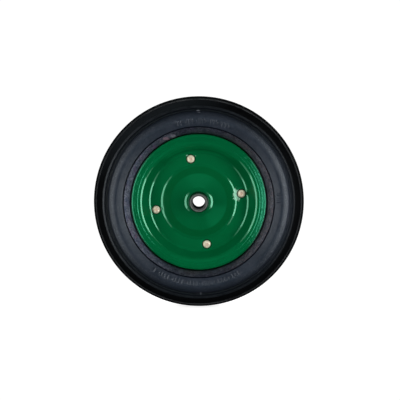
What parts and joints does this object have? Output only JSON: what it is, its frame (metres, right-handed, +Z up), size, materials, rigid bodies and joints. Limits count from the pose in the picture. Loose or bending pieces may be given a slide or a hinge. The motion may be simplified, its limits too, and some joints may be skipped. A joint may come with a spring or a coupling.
{
  "type": "wheelbarrow wheel",
  "caption": "Wheelbarrow wheel: semi-pneumatic rubber tyre on a riveted, dished pressed-steel rim, with a plain-bushed tubular hub for the barrow's axle.",
  "frame": {"origin": "the wheel's centre, on the axle's line, midway between the two discs", "axes": "+Y along the axle, from the front face (the side with the rivets' factory heads, facing -Y) to the rear face; +Z up with the wheel standing as in use"},
  "size_m": [0.3699, 0.1, 0.37],
  "materials": {
    "tyre_rubber": "matt moulded rubber, bluish black, black on the tread",
    "rim_enamel": "glossy deep green enamel",
    "hub_steel": "plain grey cut steel tube, enamelled outside",
    "bush_nylon": "grey nylon",
    "rivet_plated_steel": "pale yellow passivated zinc"
  },
  "bodies": {
    "root": {"tyre": "tyre_rubber", "rim_disc_front": "rim_enamel", "rim_disc_rear": "rim_enamel", "hub_tube": "hub_steel", "bush_front": "bush_nylon", "bush_rear": "bush_nylon", "rivets": "rivet_plated_steel"}
  },
  "joints": []
}
